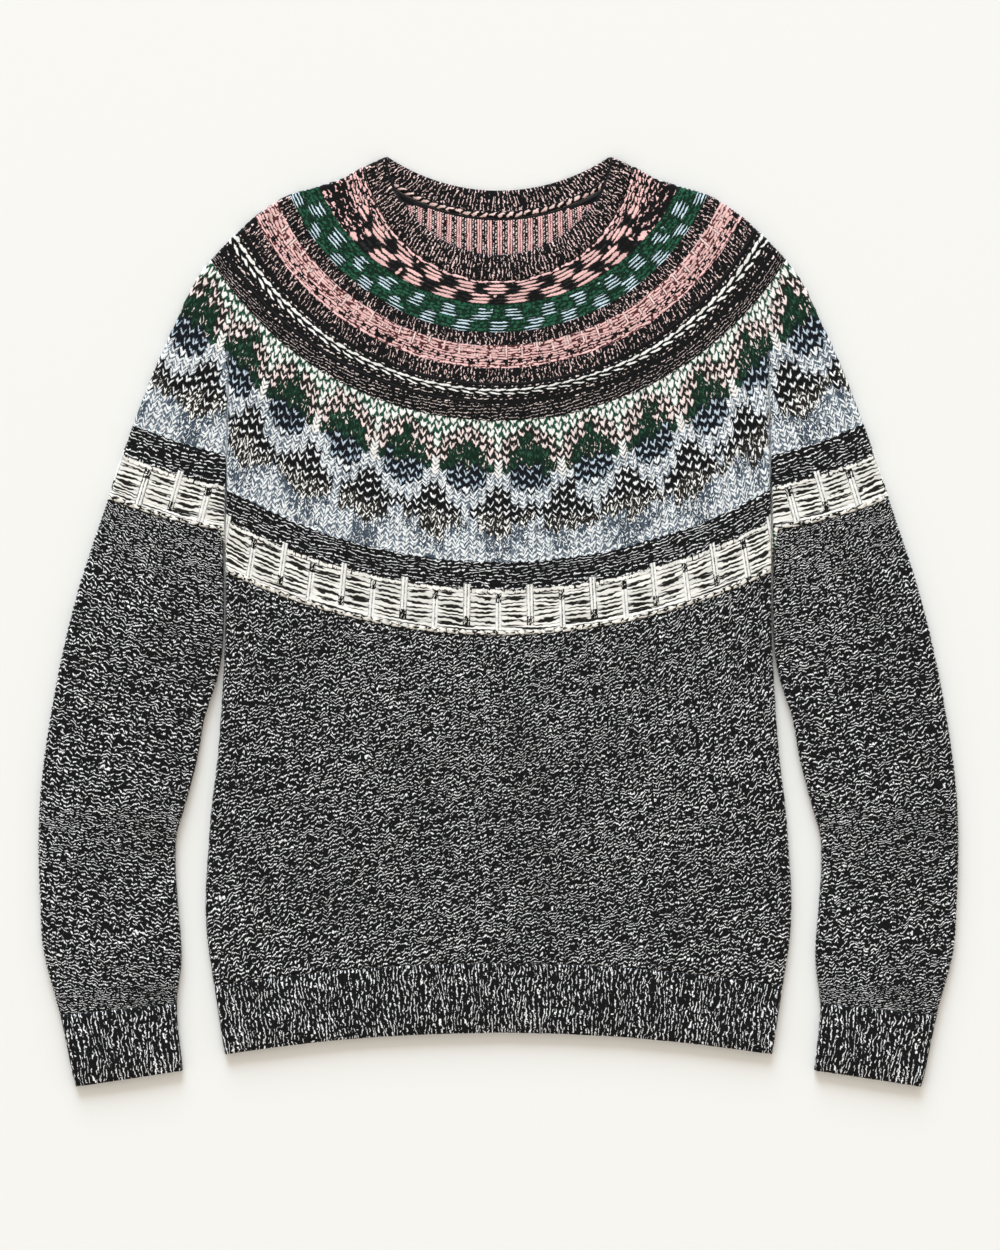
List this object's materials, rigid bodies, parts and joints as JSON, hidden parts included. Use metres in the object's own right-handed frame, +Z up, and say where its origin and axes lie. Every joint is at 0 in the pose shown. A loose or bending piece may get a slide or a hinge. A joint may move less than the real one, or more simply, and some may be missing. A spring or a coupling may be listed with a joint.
{
  "type": "patterned yoke sweater",
  "caption": "Long-sleeved knitted pullover with a ribbed crew neck, a patterned round yoke and ribbed cuffs and hem, laid flat with its front up.",
  "frame": {"origin": "middle of the outline, on the surface that the sweater lies on", "axes": "+Y to the neck, +X to the right of the picture, +Z up from the surface through the front"},
  "size_m": [0.7086, 0.7166, 0.0102],
  "materials": {
    "marl": "black and white twisted wool, matt and slightly hairy",
    "rose_marl": "black and rose twisted wool, matt",
    "yoke_wool": "wool in bands of rose, black, green, pale blue and cream, matt"
  },
  "bodies": {
    "root": {"neckband": "rose_marl", "yoke_front": "yoke_wool", "yoke_back": "yoke_wool", "body_front": "marl", "body_back": "marl", "sleeve_left": "marl", "sleeve_right": "marl", "hem_rib_front": "marl", "hem_rib_back": "marl", "cuff_left": "marl", "cuff_right": "marl"}
  },
  "joints": []
}
